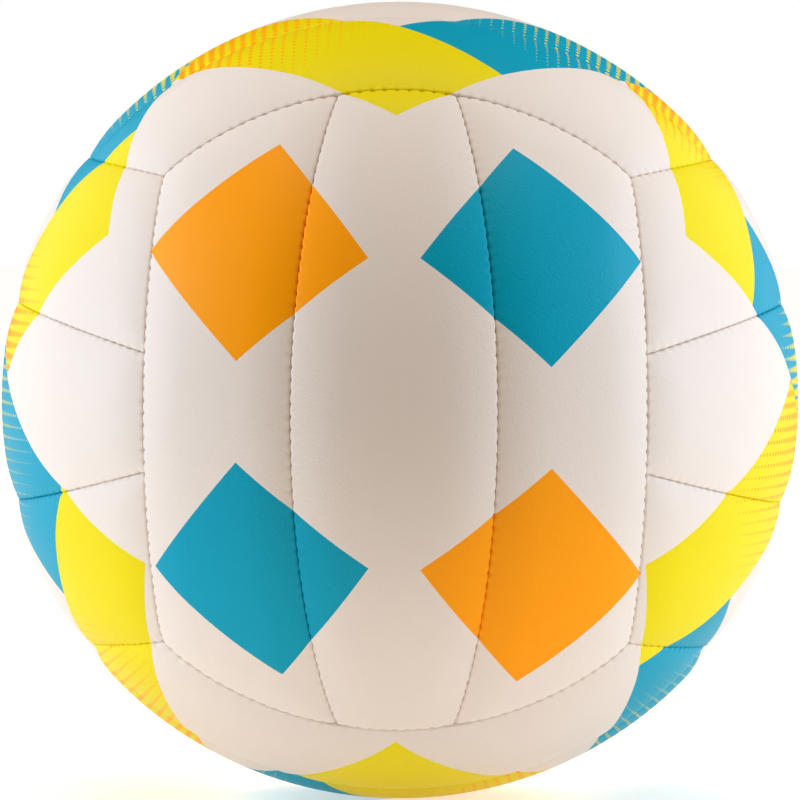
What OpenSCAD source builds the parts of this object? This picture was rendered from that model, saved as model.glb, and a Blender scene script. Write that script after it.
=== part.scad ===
// Volleyball with 18 stitched panels, an air bladder and a needle valve.
// Origin at the ball's centre. The front face looks along -Y, the valve sits at +Y, +Z is up.
// Six faces, like those of a cube, carry three strips each: front and back strips run along Z,
// left and right strips along Y, top and bottom strips along X.

/* [Ball] */
// Diameter over the panels
ball_d = 213; // [195:1:230]

/* [Panel layout] */
// How far a face seam's axis leans past the normal of the face that it wraps, in degrees
seam_lean = 10.1; // [6:0.1:14]
// Half the middle strip's width at its middle, in degrees
strip_half = 14.54; // [11:0.01:17]
// How much a strip narrows towards its ends, in degrees of its seam's cone
strip_bow = 2; // [0.5:0.1:4]

/* [Cover] */
// Thickness of the synthetic leather
skin_t = 1; // [0.8:0.1:1.4]
// Thickness of the foam behind it
foam_t = 3.6; // [3.2:0.1:5]
// Thickness of the cloth behind the foam
cloth_t = 0.5; // [0.3:0.05:0.8]
// Glue line between the layers
glue_t = 0.06; // [0.03:0.01:0.1]
// Outside radius of the fold where a panel turns into a seam
fold_r = 1.8; // [1.5:0.1:2.4]
// How far a panel's crown falls by the time it reaches a seam
crown_drop = 0.8; // [0.4:0.1:1.2]
// Width of the band over which the crown falls
crown_w = 18; // [14:1:22]
// Gap between two turned-in edges
seam_gap = 0.2; // [0.1:0.05:0.4]

/* [Sewing thread] */
// Thickness of the thread
thread_d = 0.8; // [0.5:0.1:1]
// How far the thread lies below the place where the two folds part
thread_sink = 0.9; // [0.5:0.1:1.1]
// Clearance round the thread in the channel that it presses into the edges
thread_play = 0.05; // [0.03:0.01:0.08]

/* [Bladder] */
// Wall of the bladder
bladder_wall = 1.2; // [0.8:0.1:2]
// Clearance between the bladder and the cloth
bladder_play = 0.1; // [0.05:0.05:0.3]

/* [Valve] */
// Diameter of the housing's neck, which shows in the cover
neck_d = 9; // [8:0.5:11]
// Clearance round the neck
neck_play = 0.1; // [0.05:0.05:0.2]
// How far the neck stays below the ball's surface
neck_recess = 0.4; // [0.2:0.1:0.8]
// Diameter of the flange inside the bladder
flange_d = 34; // [26:1:44]
// Thickness of the flange
flange_t = 1.6; // [1.2:0.1:2.4]
// Diameter of the boss behind the flange
boss_d = 13; // [12:0.5:16]
// Length of the boss behind the flange
boss_l = 9; // [7:0.5:12]
// Diameter of the insert's stem
stem_d = 4.6; // [4.2:0.1:5]
// Diameter of the insert's head and of its locking ring
head_d = 6.4; // [6:0.1:6.8]
// Thickness of the insert's head
head_t = 1.4; // [1:0.1:2]
// Height of the locking ring
ring_h = 2; // [1.5:0.1:3]
// How far the stem's tip stands out behind the boss
tip_l = 2.5; // [1.5:0.1:4]
// Clearance between the insert and the housing
insert_play = 0.05; // [0.03:0.01:0.08]
// Diameter of the needle's bore
needle_bore_d = 2.1; // [1.9:0.05:2.3]
// Depth of the needle's bore
needle_bore_l = 12; // [8:0.5:14]

/* [Hidden] */

$fn = 120;
fine_fn = 40;

// Depth of the thread's centre below the ball's surface
thread_depth = crown_drop + fold_r + thread_sink + thread_d / 2;

// Radii of the layers, from the outside in
ball_r = ball_d / 2;
skin_in_r = ball_r - skin_t;
foam_out_r = skin_in_r - glue_t;
foam_in_r = foam_out_r - foam_t;
cloth_out_r = foam_in_r - glue_t;
cloth_in_r = cloth_out_r - cloth_t;
bladder_out_r = cloth_in_r - bladder_play;
bladder_in_r = bladder_out_r - bladder_wall;

// A face seam's axis, measured from the normal of the face whose long side it is
lean_angle = 90 + seam_lean;
// Cone angle at which a face seam runs through the cube's corners
face_cone = acos((cos(lean_angle) + sin(lean_angle)) / sqrt(3));
// A strip seam lies on a cone about an axis square to this direction
strip_turn = strip_half + strip_bow;
strip_cone = 90 - strip_bow;
// How far a seam's side leans off the line to the ball's centre, in degrees
side_lean = 3;
// Depth at which a seam's side ends, inside the bladder
core_depth = 5 * (ball_r - bladder_out_r);
// Angle at which a fold's arc meets the crown and the side, in degrees
fold_meet = 12;

// Levels along the valve's axis, from the ball's centre outwards
neck_top = ball_r - neck_recess;
flange_out_r = bladder_in_r - glue_t;
flange_in_r = flange_out_r - flange_t;
boss_bottom = flange_in_r - boss_l;
ring_top = flange_in_r;
ring_bottom = ring_top - ring_h;

// Colours
ivory = [0.94, 0.92, 0.89];
foam_colour = [0.97, 0.93, 0.78];
cloth_colour = [0.86, 0.86, 0.84];
thread_colour = [0.90, 0.88, 0.84];
bladder_colour = [0.16, 0.16, 0.17];
valve_colour = [0.24, 0.24, 0.25];
insert_colour = [0.80, 0.79, 0.76];

// Directions in the half plane of a seam's axis: out along a cone, and square to it towards the axis
function along(cone) = [sin(cone), cos(cone)];
function inward(cone) = [-cos(cone), sin(cone)];

// A seam's side runs into the ball from the seam's circle. It leans a little off the line to the
// ball's centre, the same way for the panels on both of its sides
function side_cone(cone) = cone < 90 ? cone - side_lean : cone + side_lean;
function seam_point(cone, depth) = ball_r * along(cone) - depth * along(side_cone(cone));

// The crown is a ball whose centre is shifted along the seam's axis, so that it leaves the
// main ball crown_w before the seam and lies crown_drop below it at the seam
function crown_start(cone) = cone - crown_w / ball_r * 180 / PI;
function crown_shift(cone) =
    (pow(ball_r, 2) - pow(ball_r - crown_drop, 2))
    / (2 * (ball_r * cos(crown_start(cone)) - (ball_r - crown_drop) * cos(cone)));
function crown_r(cone) =
    sqrt(pow(ball_r, 2) + pow(crown_shift(cone), 2)
        - 2 * crown_shift(cone) * ball_r * cos(crown_start(cone)));

// Centre of the fold's arc. It lies a little further out than a tangent arc's, so that the arc
// meets the seam's side and the crown at the angle fold_meet
function fold_centre(cone, inset, r) =
    let (
        lean = side_cone(cone),
        side = seam_gap / 2 + inset + r * cos(fold_meet),
        from_crown = seam_point(cone, 0) - [0, crown_shift(cone)],
        reach = crown_r(cone) - inset - r * cos(fold_meet),
        out = sqrt(pow(reach, 2) - pow(side + from_crown * inward(lean), 2)) - from_crown * along(lean)
    )
    seam_point(cone, -out) + side * inward(lean);

// Half section of the space inside one seam, inset by the layers outside it. It is closed by a
// flat floor that lies inside the bladder, so that no side runs on to the ball's centre
module wedge_section(cone, inset) {
    lean = side_cone(cone);
    side = (seam_gap / 2 + inset) * inward(lean);
    floor_edge = side + seam_point(cone, core_depth);
    rim = side + seam_point(cone, -ball_r);
    polygon([[0, floor_edge[1]], floor_edge, rim, [ball_d, rim[1]], [ball_d, ball_d], [0, ball_d]]);
}

// What the fold takes off the edge between the crown and the seam's side
module fold_cut(cone, inset) {
    r = fold_r - inset;
    centre = fold_centre(cone, inset, r);
    from_crown = centre - [0, crown_shift(cone)];
    past_crown = 2 * r * from_crown / norm(from_crown);
    past_side = -2 * r * inward(side_cone(cone));
    difference() {
        translate(centre) polygon([[0, 0], past_crown, past_crown + past_side, past_side]);
        translate(centre) circle(r = r, $fn = fine_fn);
    }
}

// The same section under the crown, with its edge rounded by the fold,
// and with half of the thread's channel where the side is the panel's own
module folded_section(cone, inset, channel) {
    difference() {
        intersection() {
            wedge_section(cone, inset);
            translate([0, crown_shift(cone)]) circle(r = crown_r(cone) - inset);
        }
        fold_cut(cone, inset);
        if (channel)
            translate(seam_point(cone, thread_depth))
                circle(d = thread_d + 2 * thread_play, $fn = fine_fn);
    }
}

// Space inside one seam, up to the crown. Where reach is given it ends at that radius instead
module seam_space(cone, inset, channel, reach = 0) {
    rotate_extrude()
        intersection() {
            folded_section(cone, inset, channel);
            if (reach > 0) circle(r = reach);
        }
}

// Space of one of the front face's panels, up to radius reach:
// side is -1, 0 or 1 for the left, middle or right strip
module panel_space(side, inset, reach, channel = false) {
    middle = side == 0;
    inner_turn = middle ? [0, -90, strip_turn] : [0, side * 90, side * strip_turn];
    outer_turn = middle ? [0, 90, -strip_turn] : [0, -side * 90, side * seam_lean];
    inner_cone = middle ? strip_cone : 180 - strip_cone;
    outer_cone = middle ? strip_cone : 180 - face_cone;
    intersection() {
        rotate(outer_turn) seam_space(outer_cone, inset, channel, reach);
        rotate(inner_turn) seam_space(inner_cone, inset, channel);
        rotate([lean_angle, 0, 0]) seam_space(face_cone, inset, channel);
        rotate([180 - lean_angle, 0, 0]) seam_space(face_cone, inset, channel);
    }
}

// Turns the front face's piece into another face's
module on_face(face) {
    if (face == "front") children();
    if (face == "back") rotate([0, 0, 180]) children();
    if (face == "left") rotate(-120, [1, 1, 1]) children();
    if (face == "right") rotate([0, 0, 180]) rotate(-120, [1, 1, 1]) children();
    if (face == "bottom") rotate(120, [1, 1, 1]) children();
    if (face == "top") rotate([0, 180, 0]) rotate(120, [1, 1, 1]) children();
}

// Moves a piece from the ball's axis of +Z to the valve's axis of +Y
module at_valve() {
    rotate([-90, 0, 0]) children();
}

// Hole for the valve's neck
module neck_hole() {
    at_valve() cylinder(d = neck_d + 2 * neck_play, h = ball_d);
}

// Cover panel: a tray of synthetic leather with turned-in edges
module panel(face, side) {
    color(ivory)
        difference() {
            on_face(face)
                difference() {
                    panel_space(side, 0, ball_r, channel = true);
                    panel_space(side, skin_t, skin_in_r);
                    sphere(r = cloth_in_r);
                }
            if (face == "back" && side == 0) neck_hole();
        }
}

// Foam that fills the panel's tray
module foam(face, side) {
    color(foam_colour)
        difference() {
            on_face(face)
                difference() {
                    panel_space(side, skin_t + glue_t, foam_out_r);
                    sphere(r = foam_in_r);
                }
            if (face == "back" && side == 0) neck_hole();
        }
}

// Cloth behind the foam
module cloth(face, side) {
    color(cloth_colour)
        difference() {
            on_face(face)
                difference() {
                    panel_space(side, skin_t + glue_t, cloth_out_r);
                    sphere(r = cloth_in_r);
                }
            if (face == "back" && side == 0) neck_hole();
        }
}

// Thread along one seam: an arc about the seam's axis, its middle on the axis's -Y side
module thread_arc(cone, half_span) {
    trim = 2 * thread_d / ball_r * 180 / PI;
    rotate([0, 0, trim - 90 - half_span])
        rotate_extrude(angle = 2 * (half_span - trim))
            translate(seam_point(cone, thread_depth))
                circle(d = thread_d, $fn = fine_fn);
}

// A strip seam ends where its cone meets the face seam's cone
function strip_span() =
    let (
        reach = cos(strip_bow) * norm([cos(strip_turn) * sin(lean_angle), cos(lean_angle)]),
        level = cos(face_cone) - sin(strip_bow) * sin(strip_turn) * sin(lean_angle)
    )
    acos(level / reach) + atan2(cos(lean_angle), cos(strip_turn) * sin(lean_angle));

// Thread of the two seams between the strips of each face
module strip_seam_thread() {
    color(thread_colour)
        for (face = ["front", "back", "left", "right", "top", "bottom"])
            on_face(face)
                for (side = [-1, 1])
                    rotate([0, side * 90, side * strip_turn])
                        thread_arc(180 - strip_cone, strip_span());
}

// Thread of the seams between the faces, two along each face's long sides
module face_seam_thread() {
    half_span = atan2(1, sin(lean_angle) - cos(lean_angle));
    color(thread_colour)
        for (face = ["front", "back", "left", "right", "top", "bottom"])
            on_face(face)
                for (side = [-1, 1])
                    rotate([0, side * 90, side * seam_lean])
                        thread_arc(face_cone, half_span);
}

// Rubber bladder with the hole for the valve's neck
module bladder() {
    color(bladder_colour)
        difference() {
            sphere(r = bladder_out_r);
            sphere(r = bladder_in_r);
            neck_hole();
        }
}

// Half section of the insert, or of the hole that takes it when grown by its clearance
module insert_section(grow) {
    tip = boss_bottom - tip_l;
    head_bottom = neck_top - head_t;
    stem_r = stem_d / 2 + grow;
    head_r = head_d / 2 + grow;
    polygon([
        [0, tip - grow],
        [stem_r / 2, tip - grow],
        [stem_r, boss_bottom - grow],
        [stem_r, ring_bottom - grow],
        [head_r, ring_bottom - grow],
        [head_r, ring_top - ring_h / 2],
        [stem_r, ring_top + grow],
        [stem_r, head_bottom - grow],
        [head_r, head_bottom - grow],
        [head_r, neck_top],
        [0, neck_top]
    ]);
}

// Housing with a flange inside the bladder, a boss that grips the insert and a neck in the cover
module valve_housing() {
    color(valve_colour)
        at_valve()
            difference() {
                union() {
                    translate([0, 0, boss_bottom + boss_l / 2])
                        cylinder(d = neck_d, h = neck_top - boss_bottom - boss_l / 2);
                    intersection() {
                        difference() {
                            sphere(r = flange_out_r);
                            sphere(r = flange_in_r);
                        }
                        cylinder(d = flange_d, h = ball_r);
                    }
                    translate([0, 0, boss_bottom])
                        cylinder(d1 = (boss_d + stem_d) / 2, d2 = boss_d, h = boss_l / 2);
                    translate([0, 0, boss_bottom + boss_l / 2])
                        cylinder(d = boss_d, h = boss_l / 2 + flange_t / 2);
                }
                rotate_extrude() insert_section(insert_play);
                translate([0, 0, neck_top - head_t])
                    cylinder(d = head_d + 2 * insert_play, h = head_t + neck_recess);
            }
}

// Soft insert with the needle's bore
module valve_insert() {
    color(insert_colour)
        at_valve()
            difference() {
                rotate_extrude() insert_section(0);
                translate([0, 0, neck_top - needle_bore_l])
                    cylinder(d = needle_bore_d, h = needle_bore_l + neck_recess);
            }
}

panel("front", -1);  // front_left_panel
panel("front", 0);  // front_middle_panel
panel("front", 1);  // front_right_panel
panel("back", 1);  // back_left_panel
panel("back", 0);  // back_middle_panel
panel("back", -1);  // back_right_panel
panel("left", 1);  // left_upper_panel
panel("left", 0);  // left_middle_panel
panel("left", -1);  // left_lower_panel
panel("right", 1);  // right_upper_panel
panel("right", 0);  // right_middle_panel
panel("right", -1);  // right_lower_panel
panel("top", -1);  // top_front_panel
panel("top", 0);  // top_middle_panel
panel("top", 1);  // top_back_panel
panel("bottom", -1);  // bottom_front_panel
panel("bottom", 0);  // bottom_middle_panel
panel("bottom", 1);  // bottom_back_panel
foam("front", -1);  // front_left_foam
foam("front", 0);  // front_middle_foam
foam("front", 1);  // front_right_foam
foam("back", 1);  // back_left_foam
foam("back", 0);  // back_middle_foam
foam("back", -1);  // back_right_foam
foam("left", 1);  // left_upper_foam
foam("left", 0);  // left_middle_foam
foam("left", -1);  // left_lower_foam
foam("right", 1);  // right_upper_foam
foam("right", 0);  // right_middle_foam
foam("right", -1);  // right_lower_foam
foam("top", -1);  // top_front_foam
foam("top", 0);  // top_middle_foam
foam("top", 1);  // top_back_foam
foam("bottom", -1);  // bottom_front_foam
foam("bottom", 0);  // bottom_middle_foam
foam("bottom", 1);  // bottom_back_foam
cloth("front", -1);  // front_left_cloth
cloth("front", 0);  // front_middle_cloth
cloth("front", 1);  // front_right_cloth
cloth("back", 1);  // back_left_cloth
cloth("back", 0);  // back_middle_cloth
cloth("back", -1);  // back_right_cloth
cloth("left", 1);  // left_upper_cloth
cloth("left", 0);  // left_middle_cloth
cloth("left", -1);  // left_lower_cloth
cloth("right", 1);  // right_upper_cloth
cloth("right", 0);  // right_middle_cloth
cloth("right", -1);  // right_lower_cloth
cloth("top", -1);  // top_front_cloth
cloth("top", 0);  // top_middle_cloth
cloth("top", 1);  // top_back_cloth
cloth("bottom", -1);  // bottom_front_cloth
cloth("bottom", 0);  // bottom_middle_cloth
cloth("bottom", 1);  // bottom_back_cloth
strip_seam_thread();
face_seam_thread();
bladder();
valve_housing();
valve_insert();
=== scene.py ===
# %% [markdown]
# A sewn volleyball. Eighteen strips of soft synthetic leather, three to a face like the faces
# of a cube, are turned in at their edges and sewn to their neighbours. A rubber bladder pushes
# them out from inside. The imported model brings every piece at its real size, and this notebook
# gives the visible ones their folds, stitches, grain and print.

import bpy
import numpy as np
from mathutils import Matrix, Vector


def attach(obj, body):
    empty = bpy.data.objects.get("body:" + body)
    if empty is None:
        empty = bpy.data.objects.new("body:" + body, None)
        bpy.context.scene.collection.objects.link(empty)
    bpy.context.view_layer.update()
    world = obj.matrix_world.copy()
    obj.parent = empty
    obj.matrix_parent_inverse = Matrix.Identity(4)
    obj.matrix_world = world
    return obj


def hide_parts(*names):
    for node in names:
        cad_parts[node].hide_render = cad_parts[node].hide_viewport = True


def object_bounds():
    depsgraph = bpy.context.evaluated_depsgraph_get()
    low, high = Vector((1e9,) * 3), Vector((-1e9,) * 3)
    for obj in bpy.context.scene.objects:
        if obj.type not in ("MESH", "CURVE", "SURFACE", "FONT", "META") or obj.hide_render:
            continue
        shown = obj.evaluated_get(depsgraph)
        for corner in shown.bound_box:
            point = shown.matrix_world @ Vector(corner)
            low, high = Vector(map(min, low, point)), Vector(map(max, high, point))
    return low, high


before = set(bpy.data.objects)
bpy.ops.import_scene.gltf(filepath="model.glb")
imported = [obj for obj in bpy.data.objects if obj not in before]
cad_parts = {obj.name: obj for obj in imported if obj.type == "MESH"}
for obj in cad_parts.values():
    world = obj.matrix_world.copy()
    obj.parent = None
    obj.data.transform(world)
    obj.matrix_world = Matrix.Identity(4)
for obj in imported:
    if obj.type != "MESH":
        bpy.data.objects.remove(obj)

cad_low, cad_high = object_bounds()
ball_r = (cad_high.x - cad_low.x) / 2
print(f"The ball is {2000 * ball_r:.1f} mm across")

# %% [markdown]
# The driving sizes. The angles of the seams and the leather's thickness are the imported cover's.
# The folds are sharper and closer together than its folds, and the panels fall a little more
# towards them, as in the reference picture, which also gives the length of a stitch. Angles
# are in degrees and lengths in metres.

# %% Driving sizes
mm = 0.001
seam_lean = 10.1
strip_half = 14.54
strip_bow = 2
skin_t = 1.0 * mm
seam_gap = 0.06 * mm
fold_r = 0.42 * mm
crown_drop = 1.15 * mm
crown_w = 13 * mm
edge_depth = 5.2 * mm
stitch_pitch = 3.2 * mm
thread_r = 0.3 * mm
neck_hole_r = 4.6 * mm


# %% Small helpers for directions and turns
def unit(v):
    """Vectors shortened or lengthened to length one."""
    return v / np.linalg.norm(v, axis=-1, keepdims=True)


def turning(axis, degrees):
    """Matrix that turns vectors about an axis."""
    return np.array(Matrix.Rotation(np.radians(degrees), 3, Vector(axis).normalized()))


def along_arc(axis, cone, start, end, share):
    """Points on the circle at one cone angle about an axis: the start, turned about the axis by
    a share of the angle that leads to the end."""
    out = unit(start - (start @ axis) * axis)
    side = np.cross(axis, out)
    angle = np.arctan2(end @ side, end @ out) * share[:, None]
    return np.cos(cone) * axis + np.sin(cone) * (np.cos(angle) * out + np.sin(angle) * side)


def crossing(axis_a, cone_a, axis_b, cone_b):
    """Where two circles on the ball meet, on the side of -Y: the sum of both axes, weighted so
    that each cone angle is right, plus what the cross product adds to reach length one."""
    c = axis_a @ axis_b
    cos_a, cos_b = np.cos(cone_a), np.cos(cone_b)
    flat = ((cos_a - c * cos_b) * axis_a + (cos_b - c * cos_a) * axis_b) / (1 - c * c)
    across = unit(np.cross(axis_a, axis_b))
    rise = np.sqrt(1 - flat @ flat) * across
    return flat + rise if rise[1] < 0 else flat - rise


# %% [markdown]
# Every seam is a circle on the ball, so it is an axis and a cone angle. A seam between two faces
# has its cone about one face's outward line, leaned past the square. The three strips of
# a face are parted by two nearly straight circles. A face is built once, at the front, and
# turned to the other five places.

# %% Seams of the front face's strips
lean, face_axis_tilt = np.radians(90 + seam_lean), np.radians(seam_lean)
face_cone = np.arccos((np.cos(lean) + np.sin(lean)) / np.sqrt(3))
strip_turn = np.radians(strip_half + strip_bow)
strip_cone = np.radians(90 - strip_bow)


def strip_seams(side):
    """Axes and cone angles of the circles on a strip's left, right, bottom and top. The strip is
    what all four cones hold; side is -1, 0 or 1 for the left, middle or right strip."""
    tilt, bend = face_axis_tilt, strip_turn
    left = [np.cos(bend), -np.sin(bend), 0.0], strip_cone
    right = [-np.cos(bend), -np.sin(bend), 0.0], strip_cone
    if side > 0:
        left = [np.cos(bend), np.sin(bend), 0.0], np.pi - strip_cone
        right = [-np.cos(tilt), -np.sin(tilt), 0.0], np.pi - face_cone
    if side < 0:
        left = [np.cos(tilt), -np.sin(tilt), 0.0], np.pi - face_cone
        right = [-np.cos(bend), np.sin(bend), 0.0], np.pi - strip_cone
    bottom = [0.0, -np.cos(tilt), np.sin(tilt)], face_cone
    top = [0.0, -np.cos(tilt), -np.sin(tilt)], face_cone
    sides = (left, right, bottom, top)
    return np.array([axis for axis, cone in sides]), np.array([cone for axis, cone in sides])


FACE_TURNS = {
    "front": np.eye(3),
    "back": turning((0, 0, 1), 180),
    "left": turning((1, 1, 1), -120),
    "right": turning((0, 0, 1), 180) @ turning((1, 1, 1), -120),
    "bottom": turning((1, 1, 1), 120),
    "top": turning((0, 1, 0), 180) @ turning((1, 1, 1), 120),
}
STRIP_NAMES = {
    "front": ("left", "middle", "right"),
    "back": ("right", "middle", "left"),
    "left": ("lower", "middle", "upper"),
    "right": ("lower", "middle", "upper"),
    "top": ("front", "middle", "back"),
    "bottom": ("front", "middle", "back"),
}
print(f"A face seam's cone is {np.degrees(face_cone):.2f} degrees wide")

# %% [markdown]
# A strip has four curved sides, so a Coons patch covers it: the two pairs of opposite sides are
# each blended straight across, both are added, and the blend of the four corners is taken away.
# Pushed out to the ball it gives a grid that ends exactly on the seams. Its rows crowd
# where the leather folds, so that the fold is round without spending faces on the flat.

# %% Grid of directions over a strip
FOLD_ROWS = 8
COARSE = 4
CELL_MULTIPLE = 8


def graded(length, step):
    """Shares from 0 to 1 along a line: equal turns of the fold's arc at both ends, and nearly
    equal steps between. The number of cells is a multiple, so that the coarse grid fits."""
    fold = 2 * fold_r + seam_gap
    turns = fold * (1 - np.cos(np.linspace(0, np.pi / 2, FOLD_ROWS + 1)))
    cells = CELL_MULTIPLE * round((length - 2 * fold) / step / CELL_MULTIPLE)
    middle = np.linspace(fold, length - fold, cells + 1)
    return np.concatenate([turns[:-1], middle, length - turns[-2::-1]]) / length


def patch(axes, cones, inset, u, v):
    """Directions over a strip whose sides lie inset inside its seams, rows from bottom to top."""
    cones = cones - inset / ball_r
    left, right, bottom, top = zip(axes, cones)
    corners = {
        (i, j): crossing(*side, *end)
        for i, side in enumerate((left, right))
        for j, end in enumerate((bottom, top))
    }
    sides = [
        along_arc(*left, corners[0, 0], corners[0, 1], v),
        along_arc(*right, corners[1, 0], corners[1, 1], v),
        along_arc(*bottom, corners[0, 0], corners[1, 0], u),
        along_arc(*top, corners[0, 1], corners[1, 1], u),
    ]
    s, t = u[None, :, None], v[:, None, None]
    across = (1 - s) * sides[0][:, None] + s * sides[1][:, None]
    up = (1 - t) * sides[2][None] + t * sides[3][None]
    blend = (1 - s) * ((1 - t) * corners[0, 0] + t * corners[0, 1])
    blend = blend + s * ((1 - t) * corners[1, 0] + t * corners[1, 1])
    return unit(across + up - blend)


# %% [markdown]
# A panel stands out most at its middle and falls towards its seams, where it turns in with a
# round fold. Every stitch pulls the two folds together and down, which leaves a row of small
# pits with a soft pucker round each. All of it is one depth below the ball, worked out from
# how far a point lies from each seam and how far along the seam it is.

# %% Depth of the leather below the ball
PIT_GROWTH = 1.6
PIT_SHARPNESS = 3.0
PUCKER_DEPTH = 0.16 * mm
PUCKER_REACH = 1.7 * mm
FOLD_BLEND = 2.5
SEAM_MIDDLES = np.array([[0.0, -1, 0], [0, -1, 0], [0, 0, -1], [0, 0, 1]])


def seam_places(points, axes, cones):
    """Distance from each seam, and distance along it from its middle, both in metres."""
    cosine = np.clip(points @ axes.T, -1, 1)
    away = (cones - np.arccos(cosine)) * ball_r
    middle = unit(SEAM_MIDDLES - (SEAM_MIDDLES * axes).sum(-1, keepdims=True) * axes)
    angle = np.arctan2(points @ np.cross(axes, middle).T, points @ middle.T)
    return away, angle * np.sin(cones) * ball_r


def stitch_pull(along):
    """One at every stitch hole and zero between: a raised cosine, sharpened by a power."""
    return (0.5 + 0.5 * np.cos(2 * np.pi * along / stitch_pitch)) ** PIT_SHARPNESS


def leather_depth(points, axes, cones):
    """Crown, fold and puckers together. The crown falls with the square of the way into the
    band along a seam. The fold is a quarter circle, whose radius grows at a stitch hole. Where
    two folds meet at a corner, a power of each is added and the root taken, which rounds it."""
    away, along = seam_places(points, axes, cones)
    pull = stitch_pull(along)
    crown = crown_drop * np.sqrt((np.clip(1 - away / crown_w, 0, 1) ** 4).sum(-1))
    radius = fold_r * (1 + PIT_GROWTH * pull)
    turned = np.clip(1 - away / radius, 0, 1)
    near = np.argmax(turned, axis=-1)[..., None]
    fold = np.clip((turned ** FOLD_BLEND).sum(-1) ** (1 / FOLD_BLEND), 0, 1)
    fold = np.take_along_axis(radius, near, -1)[..., 0] * (1 - np.sqrt(1 - fold ** 2))
    pucker = PUCKER_DEPTH * (pull * np.exp(-(away / PUCKER_REACH) ** 2)).sum(-1)
    return crown + fold + pucker


# %% [markdown]
# The grid's outside is fine enough for the stitches, and its inside, which nobody sees, has
# every fourth row only. Between the two runs a rim that joins four fine edges to one coarse
# edge, so that each panel is a closed tray of leather. Where the valve comes through, the
# square rings of the grid are pulled into circles and the innermost cells are left out.

# %% Faces of grids, rims and bridges
VALVE_BLOCK = 8
FADE_RINGS = 1.4
RING_GROWTH = 5.2 * mm
RING_POWER = 1.6


def block_loop(first_row, last_row, first_col, last_col, width):
    """Indices round a block of a grid, starting at its first corner, counter-clockwise."""
    rows, cols = np.arange(first_row, last_row), np.arange(first_col, last_col)
    return np.concatenate([
        first_row * width + cols,
        rows * width + last_col,
        last_row * width + cols[::-1] + 1,
        (rows[::-1] + 1) * width + first_col,
    ])


def backwards(loop):
    """The same loop the other way round, from the same corner."""
    return np.concatenate([loop[:1], loop[:0:-1]])


def hole_loop(rows, cols, reach):
    """Indices round the hole in the middle of a grid, clockwise."""
    row, col = (rows - 1) // 2, (cols - 1) // 2
    return backwards(block_loop(row - reach, row + reach, col - reach, col + reach, cols))


def grid_quads(rows, cols, hole):
    """Four-sided faces of a grid, without the block of cells in its middle that a hole takes."""
    j, i = np.mgrid[0:rows - 1, 0:cols - 1]
    first = j * cols + i
    quads = np.stack([first, first + 1, first + cols + 1, first + cols], -1)
    inside = (np.abs(j + 0.5 - (rows - 1) / 2) < hole) & (np.abs(i + 0.5 - (cols - 1) / 2) < hole)
    return quads[~inside]


def band_quads(loop_a, loop_b):
    """Four-sided faces between two loops of the same length."""
    return np.stack([np.roll(loop_a, -1), loop_a, loop_b, np.roll(loop_b, -1)], -1)


def bridge_triangles(fine, coarse):
    """Triangles between a fine loop and one with a quarter of its points."""
    steps = np.append(fine, fine[0])
    cells = np.arange(len(coarse))
    ends = np.append(coarse, coarse[0])
    half = COARSE // 2
    made = [np.stack([steps[COARSE * cells + half], coarse, ends[1:]], -1)]
    for k in range(COARSE):
        tip = coarse if k < half else ends[1:]
        made.append(np.stack([steps[COARSE * cells + k + 1], steps[COARSE * cells + k], tip], -1))
    return np.concatenate(made)


def round_valve_rings(points, block):
    """Pulls the square rings of cells about the grid's middle into circles, so that the ring
    that many cells out lies on the neck's hole. Further out they fade back into the grid."""
    rows, cols = points.shape[:2]
    j, i = np.mgrid[0:rows, 0:cols]
    ring = np.maximum(np.abs(j - (rows - 1) / 2), np.abs(i - (cols - 1) / 2)) / block
    flat = points[..., [0, 2]]
    out = np.maximum(np.linalg.norm(flat, axis=-1), 1e-9)
    circle = (neck_hole_r + RING_GROWTH * np.clip(ring - 1, 0, 2) ** RING_POWER) / ball_r
    fade = np.clip((ring - 1) / FADE_RINGS, 0, 1) ** 2
    rounded = np.where(ring < 1 + FADE_RINGS, (1 - fade) * circle + fade * out, out)
    flat = flat * (rounded / out)[..., None]
    return np.stack([flat[..., 0], -np.sqrt(1 - (flat ** 2).sum(-1)), flat[..., 1]], -1)


# %% Put a surface into the scene
def make_mesh(name, vertices, faces, material):
    """A mesh object at the origin that rides on the ball, from points and lists of faces.
    Points that no face uses are left out."""
    used = np.unique(np.concatenate([f.ravel() for f in faces]))
    place = np.full(len(vertices), -1)
    place[used] = np.arange(len(used))
    corners = np.concatenate([place[f].ravel() for f in faces])
    sizes = np.concatenate([np.full(len(f), f.shape[1]) for f in faces])
    mesh = bpy.data.meshes.new(name)
    mesh.vertices.add(len(used))
    mesh.vertices.foreach_set("co", vertices[used].astype(np.float32).ravel())
    mesh.loops.add(len(corners))
    mesh.loops.foreach_set("vertex_index", corners.astype(np.int32))
    mesh.polygons.add(len(sizes))
    starts = np.concatenate([[0], np.cumsum(sizes)[:-1]])
    mesh.polygons.foreach_set("loop_start", starts.astype(np.int32))
    mesh.update(calc_edges=True)
    mesh.validate()
    mesh.polygons.foreach_set("use_smooth", np.ones(len(sizes), bool))
    mesh.materials.append(material)
    piece = bpy.data.objects.new(name, mesh)
    bpy.context.scene.collection.objects.link(piece)
    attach(piece, "root")
    return piece


# %% [markdown]
# Shared effects are node groups. A small builder keeps the node trees short to read: it adds a
# node, fills its sockets with numbers or with links, and hands the node back.

# %% Node helpers
def add_node(tree, kind, inputs=(), **settings):
    """A new node with its settings and its inputs, each a number, a colour or a socket to link."""
    node = tree.nodes.new(kind)
    for key, value in settings.items():
        setattr(node, key, value)
    for key, value in dict(inputs).items():
        socket = node.inputs[key]
        if isinstance(value, bpy.types.NodeSocket):
            tree.links.new(value, socket)
        else:
            socket.default_value = value
    return node


def calculate(tree, operation, *values):
    """Result of one step of arithmetic."""
    node = add_node(tree, "ShaderNodeMath", enumerate(values), operation=operation)
    return node.outputs[0]


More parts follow.
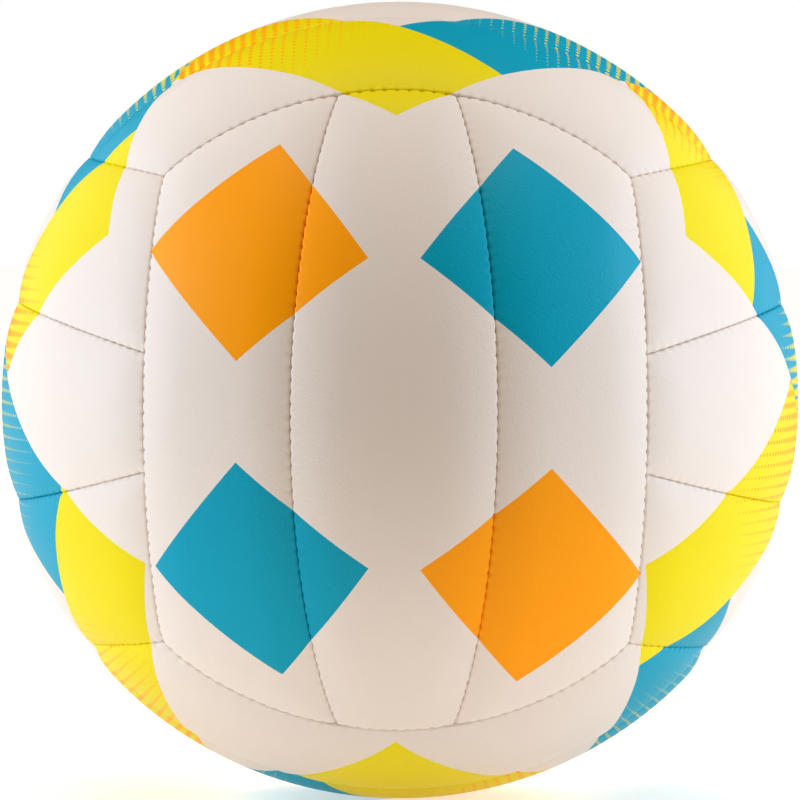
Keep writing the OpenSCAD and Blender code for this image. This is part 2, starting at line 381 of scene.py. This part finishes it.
def project(tree, vector, direction):
    """How far a vector reaches in a fixed direction."""
    inputs = {0: vector, 1: tuple(float(c) for c in direction)}
    return add_node(tree, "ShaderNodeVectorMath", inputs, operation="DOT_PRODUCT").outputs["Value"]


def mix_colour(tree, factor, below, above):
    """One colour laid over another."""
    inputs = {0: factor, 6: below, 7: above}
    return add_node(tree, "ShaderNodeMix", inputs, data_type="RGBA").outputs[2]


def choose(tree, switch, otherwise, chosen):
    """The second value where the switch is one, else the first."""
    return add_node(tree, "ShaderNodeMix", {0: switch, 2: otherwise, 3: chosen}).outputs[0]


def new_group(name, inputs, outputs):
    """An empty node group with named sockets, its input node and its output node."""
    group = bpy.data.node_groups.new(name, "ShaderNodeTree")
    for socket, kind, value in inputs:
        made = group.interface.new_socket(socket, in_out="INPUT", socket_type=kind)
        if value is not None:
            made.default_value = value
    for socket, kind in outputs:
        group.interface.new_socket(socket, in_out="OUTPUT", socket_type=kind)
    return group, group.nodes.new("NodeGroupInput"), group.nodes.new("NodeGroupOutput")


def use_group(tree, group, **inputs):
    """A use of a node group, with its named inputs filled."""
    return add_node(tree, "ShaderNodeGroup", inputs, node_tree=group)


# %% [markdown]
# The print. Four squares stand on their points on the front face, in orange and teal. Round
# them runs a six-pointed zig-zag of broad bands. Two bands leave each inner corner of that
# star: the one that runs clockwise is teal, the other yellow, and so is the place where they
# cross. Towards the star's points dots grow on both. Each edge of a band is a great circle,
# which is a plane through the ball's centre, so one dot product tells on which side a place lies.
# The places are angles: longitude and latitude for the squares, and for the star the angle away
# from the middle of the front with the direction round it. The back mirrors the front.

# %% Places of the print
SQUARES = (
    ("Orange", ((-21.6, 40.3), (-3.9, 22.2), (-22.4, 7.5), (-40.8, 23.1))),
    ("Teal", ((21.5, 39.7), (40.0, 21.7), (22.2, 6.8), (3.8, 22.2))),
    ("Teal", ((-22.4, -6.4), (-3.7, -21.3), (-20.6, -39.4), (-39.1, -22.1))),
    ("Orange", ((22.3, -7.1), (40.9, -23.2), (22.8, -40.6), (3.9, -21.5))),
)
INNER_CORNERS = dict(top=(45.8, 90), upper=(55.2, 31.2), lower=(45.6, -31.3), bottom=(54.4, -90))
OUTER_CORNERS = dict(top=(69.3, 90), upper=(77.4, 28.8), lower=(71.8, -29.8), bottom=(88.3, -90))
INNER_POINTS = dict(high=(79.8, 55.0), side=(77.2, 4.0), low=(87.5, -64.5))
OUTER_POINTS = dict(high=(102, 52.1), side=(95.5, -4), low=(112, -68))
DOWN_BANDS = dict(top="high", upper="side", lower="low")
UP_BANDS = dict(upper="high", lower="side", bottom="low")
BAND_END = np.radians(9)
ROW_ANGLE = 1.65
DOT_ANGLE = 1.18
FAN_ANGLE = 1.75
ORANGE_DOTS = dict(start=16.5, first=0.16 * mm, last=1.15 * mm)
YELLOW_DOTS = dict(start=27.0, first=0.13 * mm, last=0.7 * mm)


def on_front(lon, lat):
    """Unit vector at a longitude and latitude, counted from the middle of the front."""
    x, z = np.radians(lon), np.radians(lat)
    return np.array([np.sin(x) * np.cos(z), -np.cos(x) * np.cos(z), np.sin(z)])


def from_front(away, round_front):
    """Unit vector at an angle away from the front, in a direction counted round it."""
    a, r = np.radians(away), np.radians(round_front)
    return np.array([np.sin(a) * np.cos(r), -np.cos(a), np.sin(a) * np.sin(r)])


def edge_plane(start, end):
    """Normal of the great circle through two places, positive on the side away from the front."""
    normal = unit(np.cross(from_front(*start), from_front(*end)))
    return normal * np.sign(normal[1])


def band_vectors(corner, bands, other):
    """What describes one band of a corner: the normals of its inner and outer edge, the way to
    its corner, and the way on from there. A corner on the middle line has only one band
    on this half of the ball, and the other is its mirror image."""
    if corner not in bands:
        return band_vectors(corner, other, bands) * [-1, 1, 1]
    start, end = from_front(*INNER_CORNERS[corner]), from_front(*INNER_POINTS[bands[corner]])
    return np.array([
        edge_plane(INNER_CORNERS[corner], INNER_POINTS[bands[corner]]),
        edge_plane(OUTER_CORNERS[corner], OUTER_POINTS[bands[corner]]),
        start,
        unit(end - (end @ start) * start),
    ])


# %% Group for the dots
def make_dots_group():
    """Distance in metres to the nearest place for a dot. Dots stand in rows, as far apart as the
    angles say: level at the sides, upright at the top, and fanned out from the middle of the
    front at the bottom."""
    tree, given, result = new_group(
        "dot rows", [("Place", "NodeSocketVector", None)], [("Distance", "NodeSocketFloat")]
    )
    parts = add_node(tree, "ShaderNodeSeparateXYZ", {0: given.outputs["Place"]}).outputs
    wide, high = calculate(tree, "ABSOLUTE", parts["X"]), calculate(tree, "ABSOLUTE", parts["Z"])
    outward = add_node(tree, "ShaderNodeCombineXYZ", {"X": wide, "Z": high}).outputs[0]
    to_top = project(tree, outward, [-np.sin(face_axis_tilt), 0, np.cos(face_axis_tilt)])
    on_top = calculate(tree, "GREATER_THAN", to_top, float(np.cos(face_cone)))
    across = choose(tree, on_top, parts["Z"], parts["X"])
    out = choose(tree, on_top, wide, high)
    row = calculate(tree, "DIVIDE", calculate(tree, "ARCSINE", across), np.radians(ROW_ANGLE))
    circle = calculate(tree, "COSINE", calculate(tree, "ARCSINE", across))
    turn = calculate(tree, "MULTIPLY", calculate(tree, "ARCTAN2", parts["Y"], out), circle)
    step = calculate(tree, "DIVIDE", turn, np.radians(DOT_ANGLE))
    at_bottom = calculate(tree, "MULTIPLY", on_top, calculate(tree, "LESS_THAN", parts["Z"], 0.0))
    fan = calculate(tree, "DIVIDE", calculate(tree, "ARCTAN2", high, wide), np.radians(FAN_ANGLE))
    radius = add_node(tree, "ShaderNodeVectorMath", {0: outward}, operation="LENGTH").outputs["Value"]
    away = calculate(tree, "ARCTAN2", radius, calculate(tree, "MULTIPLY", parts["Y"], -1.0))
    row = choose(tree, at_bottom, row, fan)
    step = choose(tree, at_bottom, step, calculate(tree, "DIVIDE", away, np.radians(DOT_ANGLE)))
    squares = []
    for value, angle in ((row, ROW_ANGLE), (step, DOT_ANGLE)):
        beside = calculate(tree, "SUBTRACT", value, calculate(tree, "ROUND", value))
        length = calculate(tree, "MULTIPLY", beside, float(np.radians(angle) * ball_r))
        squares.append(calculate(tree, "MULTIPLY", length, length))
    tree.links.new(calculate(tree, "SQRT", calculate(tree, "ADD", *squares)), result.inputs["Distance"])
    return tree


# %% Group for the print
def make_print_group():
    """Colour of the cover at a place on the ball. Each layer covers those before it: the ground
    colour, the squares, the yellow bands with orange dots, the teal bands with yellow dots."""
    colours = [(name, "NodeSocketColor", (1, 1, 1, 1)) for name in ("Base", "Orange", "Teal", "Yellow")]
    tree, given, result = new_group(
        "ball print", [("Place", "NodeSocketVector", None)] + colours, [("Colour", "NodeSocketColor")]
    )
    place = add_node(
        tree, "ShaderNodeVectorMath", {0: given.outputs["Place"]}, operation="NORMALIZE"
    ).outputs[0]
    parts = add_node(tree, "ShaderNodeSeparateXYZ", {0: place}).outputs
    depth = calculate(tree, "MULTIPLY", calculate(tree, "ABSOLUTE", parts["Y"]), -1.0)
    wide = calculate(tree, "ABSOLUTE", parts["X"])
    front = add_node(
        tree, "ShaderNodeCombineXYZ", {"X": parts["X"], "Y": depth, "Z": parts["Z"]}
    ).outputs[0]
    half = add_node(tree, "ShaderNodeCombineXYZ", {"X": wide, "Y": depth, "Z": parts["Z"]}).outputs[0]

    colour = given.outputs["Base"]
    for ink, corners in SQUARES:
        points = np.array([on_front(*corner) for corner in corners])
        inside = 1.0
        for normal in np.cross(np.roll(points, -1, axis=0), points):
            inward = normal * np.sign(normal @ points.sum(0))
            within = calculate(tree, "GREATER_THAN", project(tree, front, inward), 0.0)
            inside = calculate(tree, "MULTIPLY", within, inside)
        colour = mix_colour(tree, inside, colour, given.outputs[ink])

    on_right = calculate(tree, "GREATER_THAN", parts["X"], 0.0)
    from_dot = use_group(tree, dots_group, Place=front).outputs["Distance"]

    layers = []
    for corner in INNER_CORNERS:
        down = band_vectors(corner, DOWN_BANDS, UP_BANDS)
        up = band_vectors(corner, UP_BANDS, DOWN_BANDS)
        past = [
            calculate(tree, "GREATER_THAN", project(tree, half, inner), 0.0)
            for inner in (down[0], up[0])
        ]
        beyond = calculate(tree, "MULTIPLY", *past)
        masks, runs = [], []
        for _, outer, start, ahead in (down, up):
            before = calculate(tree, "LESS_THAN", project(tree, half, outer), 0.0)
            masks.append(calculate(tree, "MULTIPLY", beyond, before))
            forward = project(tree, half, ahead)
            runs.append(calculate(tree, "ARCTAN2", forward, project(tree, half, start)))
        start = down[2]
        point = from_front(*INNER_POINTS[DOWN_BANDS.get(corner, "low")])
        length = float(np.arccos(start @ point))
        layers.append((masks, runs, length))

    for ground, ink, dots in (("Yellow", "Orange", ORANGE_DOTS), ("Teal", "Yellow", YELLOW_DOTS)):
        on_left_half, on_right_half = (1, 0) if ground == "Teal" else (0, 1)
        dots_start = float(np.radians(dots["start"]))
        for masks, runs, length in layers:
            band = choose(tree, on_right, masks[on_left_half], masks[on_right_half])
            along = choose(tree, on_right, runs[on_left_half], runs[on_right_half])
            size = add_node(tree, "ShaderNodeMapRange", {
                "Value": along,
                "From Min": dots_start,
                "From Max": length,
                "To Min": dots["first"],
                "To Max": dots["last"],
            }, clamp=False).outputs[0]
            started = calculate(tree, "GREATER_THAN", along, dots_start)
            dotted = calculate(tree, "MULTIPLY", started, calculate(tree, "LESS_THAN", from_dot, size))
            inked = mix_colour(tree, dotted, given.outputs[ground], given.outputs[ink])
            unfinished = calculate(tree, "LESS_THAN", along, length + BAND_END)
            band = calculate(tree, "MULTIPLY", band, unfinished)
            if ground == "Teal":
                both = calculate(tree, "MULTIPLY", *masks)
                inked = mix_colour(tree, both, inked, given.outputs["Yellow"])
            colour = mix_colour(tree, band, colour, inked)
    tree.links.new(colour, result.inputs["Colour"])
    return tree


# %% [markdown]
# The cover is synthetic leather: a thin skin with a fine pebble grain, softly shiny. The grain
# is a fine cell pattern with a little noise, and it moves the normal. A much broader noise
# makes some places shinier than others.

# %% Group for leather grain
GRAIN_SCALE = 1800.0
WEAR_SCALE = 22.0
NOISE_SHARE = 0.7


def make_grain_group():
    """Height of the grain and how rough the skin is, at a place given in metres."""
    tree, given, result = new_group(
        "leather grain",
        [("Place", "NodeSocketVector", None), ("Grain", "NodeSocketFloat", GRAIN_SCALE)],
        [("Height", "NodeSocketFloat"), ("Wear", "NodeSocketFloat")],
    )
    place, grain = given.outputs["Place"], given.outputs["Grain"]
    inputs = {"Vector": place, "Scale": grain}
    cells = add_node(tree, "ShaderNodeTexVoronoi", inputs, feature="SMOOTH_F1")
    fine = add_node(tree, "ShaderNodeTexNoise", {"Vector": place, "Scale": grain, "Detail": 3.0})
    broad = add_node(tree, "ShaderNodeTexNoise", {"Vector": place, "Scale": WEAR_SCALE, "Detail": 4.0})
    noise = calculate(tree, "MULTIPLY", fine.outputs[0], NOISE_SHARE)
    height = calculate(tree, "ADD", cells.outputs["Distance"], noise)
    tree.links.new(height, result.inputs["Height"])
    tree.links.new(broad.outputs[0], result.inputs["Wear"])
    return tree


dots_group = make_dots_group()
print_group = make_print_group()
grain_group = make_grain_group()
print("Node groups:", ", ".join(f"{g.name} ({len(g.nodes)} nodes)" for g in bpy.data.node_groups))


# %% Material of the cover
def new_material(name):
    """A material with an empty tree, its shader and its output."""
    material = bpy.data.materials.new(name)
    material.use_nodes = True
    tree = material.node_tree
    tree.nodes.clear()
    shader = tree.nodes.new("ShaderNodeBsdfPrincipled")
    output = tree.nodes.new("ShaderNodeOutputMaterial")
    tree.links.new(shader.outputs[0], output.inputs[0])
    place = tree.nodes.new("ShaderNodeTexCoord").outputs["Object"]
    return material, tree, shader, place


IVORY = (0.80, 0.675, 0.58, 1)
ORANGE = (1.0, 0.33, 0.0, 1)
TEAL = (0.0, 0.31, 0.43, 1)
YELLOW = (0.82, 0.64, 0.0, 1)
SMOOTHEST = 0.38
ROUGHEST = 0.52
GRAIN_HEIGHT = 0.06 * mm


def make_cover_material():
    """Printed synthetic leather."""
    material, tree, shader, place = new_material("cover_leather")
    ink = use_group(tree, print_group, Place=place, Base=IVORY, Orange=ORANGE, Teal=TEAL, Yellow=YELLOW)
    grain = use_group(tree, grain_group, Place=place)
    tree.links.new(ink.outputs["Colour"], shader.inputs["Base Color"])
    rough = add_node(tree, "ShaderNodeMapRange", {
        "Value": grain.outputs["Wear"], "To Min": SMOOTHEST, "To Max": ROUGHEST
    })
    tree.links.new(rough.outputs[0], shader.inputs["Roughness"])
    shader.inputs["Specular IOR Level"].default_value = 0.12
    bump = add_node(tree, "ShaderNodeBump", {
        "Height": grain.outputs["Height"], "Strength": 0.8, "Distance": GRAIN_HEIGHT
    })
    tree.links.new(bump.outputs[0], shader.inputs["Normal"])
    return material


cover_material = make_cover_material()


# %% [markdown]
# Now the eighteen covers. The long way of a strip takes the most rows, one for every fifth of
# a stitch.

# %% Cover panels
GRID_STEP = 0.65 * mm
LONG_SIDE = 186 * mm
STRIP_WIDTHS = {-1: 44 * mm, 0: 50 * mm, 1: 44 * mm}


def cover_surface(side, hole):
    """Points and faces of the front face's strip as a closed tray of leather."""
    axes, cones = strip_seams(side)
    u, v = graded(STRIP_WIDTHS[side], GRID_STEP), graded(LONG_SIDE, GRID_STEP)
    outside = patch(axes, cones, seam_gap / 2, u, v)
    inside = patch(axes, cones, seam_gap / 2 + skin_t, u[::COARSE], v[::COARSE])
    block = VALVE_BLOCK if hole else 0
    if hole:
        outside = round_valve_rings(outside, block)
        inside = round_valve_rings(inside, block // COARSE)
    depth = leather_depth(outside, axes, cones)
    rows, cols = outside.shape[:2]
    rim = block_loop(0, rows - 1, 0, cols - 1, cols)
    in_rows, in_cols = inside.shape[:2]
    in_rim = block_loop(0, in_rows - 1, 0, in_cols - 1, in_cols)
    in_depth = np.minimum(leather_depth(inside, axes, cones), crown_drop) + skin_t
    flat_out, flat_in = outside.reshape(-1, 3), inside.reshape(-1, 3)
    parts = [
        flat_out * (ball_r - depth.reshape(-1, 1)),
        flat_out[rim] * (ball_r - edge_depth),
        flat_in[in_rim] * (ball_r - edge_depth),
        flat_in * (ball_r - in_depth.reshape(-1, 1)),
    ]
    starts = np.cumsum([0] + [len(p) for p in parts])
    foot = starts[1] + np.arange(len(rim))
    in_foot = starts[2] + np.arange(len(in_rim))
    in_top = starts[3] + in_rim
    faces = [
        grid_quads(rows, cols, block),
        band_quads(rim, foot),
        bridge_triangles(foot, in_foot),
        band_quads(in_foot, in_top),
        starts[3] + grid_quads(in_rows, in_cols, block // COARSE)[:, ::-1],
    ]
    if hole:
        ring = hole_loop(rows, cols, block)
        in_ring = hole_loop(in_rows, in_cols, block // COARSE)
        faces.append(bridge_triangles(ring, starts[3] + in_ring))
    return np.concatenate(parts), faces


covers = []
for face, turn in FACE_TURNS.items():
    for side, strip in zip((-1, 0, 1), STRIP_NAMES[face]):
        has_valve = face == "back" and side == 0
        points, faces = cover_surface(side, has_valve)
        name = f"{face}_{strip}_cover"
        cover = make_mesh(name, points @ turn.T, faces, cover_material)
        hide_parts(f"{face}_{strip}_panel")
        covers.append(cover)
print(f"{len(covers)} covers, {sum(len(c.data.polygons) for c in covers)} faces")

# %% [markdown]
# Lockstitches hold the covers together. Seen between the folds, two threads cross from one
# edge to the other at every hole, so each seam gets a pair of threads that weave to and fro
# across it, a stitch apart.

# %% Thread material
def make_thread_material():
    """Waxed off-white thread, mottled and roughened by its fibres."""
    material, tree, shader, place = new_material("sewing_thread")
    fibres = add_node(tree, "ShaderNodeTexNoise", {"Vector": place, "Scale": 3000.0, "Detail": 2.0})
    colour = mix_colour(tree, fibres.outputs[0], (0.55, 0.5, 0.44, 1), (0.8, 0.76, 0.7, 1))
    tree.links.new(colour, shader.inputs["Base Color"])
    shader.inputs["Roughness"].default_value = 0.6
    bump = add_node(tree, "ShaderNodeBump", {
        "Height": fibres.outputs[0], "Strength": 0.5, "Distance": 0.1 * mm
    })
    tree.links.new(bump.outputs[0], shader.inputs["Normal"])
    return material


# %% Stitches along the seams
THREAD_SINK = 0.9 * mm
STITCH_DEPTH = crown_drop + fold_r + THREAD_SINK
THREAD_SWAY = 0.8 * mm
THREAD_SIDES = 6
STEPS_PER_STITCH = 6


def thread_tube(axis, cone, middle, half_span, phase):
    """A tube round a path that follows a seam's circle below the folds and sways across it as a
    sine, so that it crosses at every stitch hole."""
    count = int(2 * half_span * np.sin(cone) * ball_r / stitch_pitch * STEPS_PER_STITCH)
    angle = np.linspace(-half_span, half_span, count)
    along = angle * np.sin(cone) * ball_r
    sway = THREAD_SWAY * phase * np.sin(np.pi * along / stitch_pitch)
    out = unit(middle - (middle @ axis) * axis)
    side = np.cross(axis, out)
    circle = np.sin(cone) * (np.cos(angle)[:, None] * out + np.sin(angle)[:, None] * side)
    centre = (circle + np.cos(cone) * axis) * (ball_r - STITCH_DEPTH)
    up = unit(centre)
    across = unit(np.cross(np.gradient(centre, axis=0), up))
    centre = centre + sway[:, None] * across
    ahead = unit(np.gradient(centre, axis=0))
    across = unit(np.cross(ahead, up))
    up = np.cross(across, ahead)
    turn = np.linspace(0, 2 * np.pi, THREAD_SIDES, endpoint=False)[:, None]
    ring = np.cos(turn) * across[:, None] + np.sin(turn) * up[:, None]
    points = centre[:, None] + thread_r * ring
    first = np.arange(count - 1)[:, None] * THREAD_SIDES + np.arange(THREAD_SIDES)
    after = np.roll(first, -1, axis=1)
    quads = np.stack([after, first, first + THREAD_SIDES, after + THREAD_SIDES], -1).reshape(-1, 4)
    caps = np.stack([np.arange(THREAD_SIDES), (count * THREAD_SIDES - 1) - np.arange(THREAD_SIDES)])
    return points.reshape(-1, 3), quads, caps


# Half the angle that a seam's threads take up, seen from the seam's own axis.
strip_span = np.radians(51.0)
face_span = np.arctan2(1, np.sin(lean) - np.cos(lean))


def seam_stitches(name, seam, span, node):
    """The threads of one kind of seam on all six faces, as one piece that stands for its node."""
    points, quads, caps, count = [], [], [], 0
    for turn in FACE_TURNS.values():
        for side in (-1, 1):
            axes, cones = strip_seams(side)
            pick = seam if side > 0 else 1 - seam
            for phase in (-1, 1):
                tube, body, ends = thread_tube(
                    axes[pick], cones[pick], SEAM_MIDDLES[pick], span, phase
                )
                points.append(tube @ turn.T)
                quads.append(body + count)
                caps.append(ends + count)
                count += len(tube)
    faces = [np.concatenate(quads), np.concatenate(caps)]
    piece = make_mesh(name, np.concatenate(points), faces, thread_material)
    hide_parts(node)
    print(f"{name}: {len(quads)} threads, {len(piece.data.polygons)} faces")


thread_material = make_thread_material()
seam_stitches("strip_seam_stitches", 0, strip_span, "strip_seam_thread")
seam_stitches("face_seam_stitches", 1, face_span, "face_seam_thread")

# %% [markdown]
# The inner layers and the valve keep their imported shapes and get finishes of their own. So do
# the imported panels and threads, though the finer pieces built above stand in for them: they get
# the leather and the thread.

# %% Materials of the inner pieces
def make_simple_material(name, dark, light, scale, roughness, bump_depth):
    """A plain finish whose colour wanders between two shades, with a fine bump."""
    material, tree, shader, place = new_material(name)
    noise = add_node(tree, "ShaderNodeTexNoise", {"Vector": place, "Scale": scale, "Detail": 5.0})
    tree.links.new(mix_colour(tree, noise.outputs[0], dark, light), shader.inputs["Base Color"])
    shader.inputs["Roughness"].default_value = roughness
    bump = add_node(tree, "ShaderNodeBump", {
        "Height": noise.outputs[0], "Strength": 0.4, "Distance": bump_depth
    })
    tree.links.new(bump.outputs[0], shader.inputs["Normal"])
    return material


BLACK = (0.01, 0.01, 0.01, 1)
SOOT = (0.03, 0.03, 0.03, 1)
FOAM = (0.8, 0.74, 0.5, 1), (0.95, 0.9, 0.7, 1)
CLOTH = (0.6, 0.6, 0.58, 1), (0.8, 0.8, 0.78, 1)
CORE = (0.5, 0.48, 0.44, 1), (0.62, 0.6, 0.56, 1)
FINISHES = {
    "panel": cover_material,
    "thread": thread_material,
    "foam": make_simple_material("foam", *FOAM, 900, 0.9, 0.3 * mm),
    "cloth": make_simple_material("backing_cloth", *CLOTH, 1200, 0.95, 0.2 * mm),
    "bladder": make_simple_material("bladder_rubber", BLACK, SOOT, 200, 0.6, 0.1 * mm),
    "housing": make_simple_material("valve_rubber", BLACK, SOOT, 400, 0.5, 0.1 * mm),
    "insert": make_simple_material("valve_core_rubber", *CORE, 500, 0.55, 0.1 * mm),
}
for name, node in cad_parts.items():
    node.data.materials.clear()
    node.data.materials.append(next(FINISHES[key] for key in FINISHES if name.endswith(key)))
print(f"{len(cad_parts)} packed pieces have a finish")

# %% [markdown]
# The stage: a round pale floor, two tall soft boxes beside the ball, two broad ones behind it
# and one above. The room beyond is almost black, so the middle of the front stays the darkest.
# The camera alone sees that room as white, and the floor brighter than it lights the ball, as
# in a catalogue picture.

# %% Floor
FLOOR_RADIUS = 6.0
FLOOR_POINTS = 64
FLOOR_GLOW = 0.33
WARMTH_FROM, WARMTH_TO = 0.25, 0.8
SEEN_FROM, SEEN_TO = 0.3, 1.5
NEAR_GLOW = (1, 0.98, 0.98, 1)
FAR_GLOW = (1, 0.74, 0.36, 1)
SEEN_GLOW = (1, 0.98, 0.96, 1)


def camera_rays(tree):
    """One for the camera's own rays, and zero for all other light."""
    return add_node(tree, "ShaderNodeLightPath").outputs["Is Camera Ray"]


def make_floor():
    """A disc under the ball. Its glow for the camera grows away from the ball, up to white.

    The light it throws is neutral close to the ball, for the underside, and warm farther out.
    """
    turn = np.linspace(0, 2 * np.pi, FLOOR_POINTS, endpoint=False)
    round_rim = FLOOR_RADIUS * np.cos(turn), FLOOR_RADIUS * np.sin(turn)
    rim = np.stack([*round_rim, np.full_like(turn, -ball_r)], -1)
    mesh = bpy.data.meshes.new("floor")
    mesh.from_pydata(rim.tolist(), [], [list(range(len(rim)))])
    material, tree, shader, place = new_material("pale_floor")
    speckle = add_node(tree, "ShaderNodeTexNoise", {"Vector": place, "Scale": 40.0, "Detail": 3.0})
    colour = mix_colour(tree, speckle.outputs[0], (0.83, 0.79, 0.72, 1), (0.87, 0.83, 0.76, 1))
    tree.links.new(colour, shader.inputs["Base Color"])
    away = add_node(tree, "ShaderNodeVectorMath", {0: place}, operation="LENGTH").outputs["Value"]
    glow = add_node(tree, "ShaderNodeMapRange", {
        "Value": away, "From Min": SEEN_FROM, "From Max": SEEN_TO, "To Min": 0.5, "To Max": 1.0
    }).outputs[0]
    rays = camera_rays(tree)
    tree.links.new(choose(tree, rays, FLOOR_GLOW, glow), shader.inputs["Emission Strength"])
    far = add_node(tree, "ShaderNodeMapRange", {
        "Value": away, "From Min": WARMTH_FROM, "From Max": WARMTH_TO
    }).outputs[0]
    warmth = mix_colour(tree, far, NEAR_GLOW, FAR_GLOW)
    tree.links.new(mix_colour(tree, rays, warmth, SEEN_GLOW), shader.inputs["Emission Color"])
    shader.inputs["Roughness"].default_value = 0.9
    mesh.materials.append(material)
    disc = bpy.data.objects.new("floor", mesh)
    bpy.context.scene.collection.objects.link(disc)


make_floor()

# %% Lights
COOL = (0.64, 0.8, 1.0)
WHITE = (1.0, 1.0, 1.0)
WARM = (1.0, 0.94, 0.85)
SOFT_BOXES = {
    "left_box": dict(turn=-82.5, rise=8, away=1.1, size=(0.45, 1.2), power=17.4, colour=COOL),
    "right_box": dict(turn=84.5, rise=8, away=1.1, size=(0.45, 1.2), power=17.4, colour=COOL),
    "left_rim_box": dict(turn=-135, rise=12, away=1.5, size=(1.0, 1.2), power=4.5, colour=WHITE),
    "right_rim_box": dict(turn=135, rise=12, away=1.5, size=(1.0, 1.2), power=4.5, colour=WHITE),
    "top_box": dict(turn=0, rise=84, away=1.1, size=(1.2, 0.7), power=9.0, colour=WARM),
}


def soft_box(name, turn, rise, away, size, power, colour):
    """A rectangular light that faces the ball, from an angle round it and a height angle. Sizes
    and the distance from the ball's centre are in metres, the power in watts."""
    data = bpy.data.lights.new(name, "AREA")
    data.shape = "RECTANGLE"
    data.size, data.size_y = size
    data.energy = power
    data.color = colour
    lamp = bpy.data.objects.new(name, data)
    bpy.context.scene.collection.objects.link(lamp)
    lamp.location = away * Vector(on_front(turn, rise))
    lamp.rotation_euler = lamp.location.to_track_quat("Z", "Y").to_euler()


for name, settings in SOFT_BOXES.items():
    soft_box(name, **settings)
print(f"{len(SOFT_BOXES)} soft boxes, {sum(box['power'] for box in SOFT_BOXES.values()):.1f} W")

# %% Room
ROOM_LIGHT = (0.025, 0.008, 0.0, 1)
ROOM_SEEN = (1, 1, 1, 1)
world = bpy.data.worlds.new("warm_room")
bpy.context.scene.world = world
world.use_nodes = True
tree = world.node_tree
background = tree.nodes["Background"]
room_colour = mix_colour(tree, camera_rays(tree), ROOM_LIGHT, ROOM_SEEN)
tree.links.new(room_colour, background.inputs["Color"])
bpy.context.scene.view_settings.view_transform = "Standard"

# %% [markdown]
# The camera stands far off, at a number of ball radii, with a long lens. It is turned, raised
# and rolled by a few degrees at most, as the reference picture's seams show. Half the frame's
# width is given as a share of the distance.

# %% Camera
VIEW_TURN = 0.86
VIEW_RISE = 2.44
VIEW_ROLL = 0.16
RADII_AWAY = 18.0
HALF_FRAME = 0.05588
SENSOR_WIDTH = 36
camera_data = bpy.data.cameras.new("camera")
camera_data.sensor_width = SENSOR_WIDTH
camera_data.lens = SENSOR_WIDTH / 2 / HALF_FRAME
camera = bpy.data.objects.new("camera", camera_data)
bpy.context.scene.collection.objects.link(camera)
turn, rise = np.radians(VIEW_TURN), np.radians(VIEW_RISE)
away = Vector((np.sin(turn) * np.cos(rise), -np.cos(turn) * np.cos(rise), np.sin(rise)))
camera.location = away * RADII_AWAY * ball_r
level = (-away).to_track_quat("-Z", "Y").to_matrix()
camera.rotation_euler = (level @ Matrix.Rotation(np.radians(VIEW_ROLL), 3, "Z")).to_euler()
bpy.context.scene.camera = camera
print(f"The camera is {camera.location.length:.2f} m away, its lens {camera_data.lens:.0f} mm long")
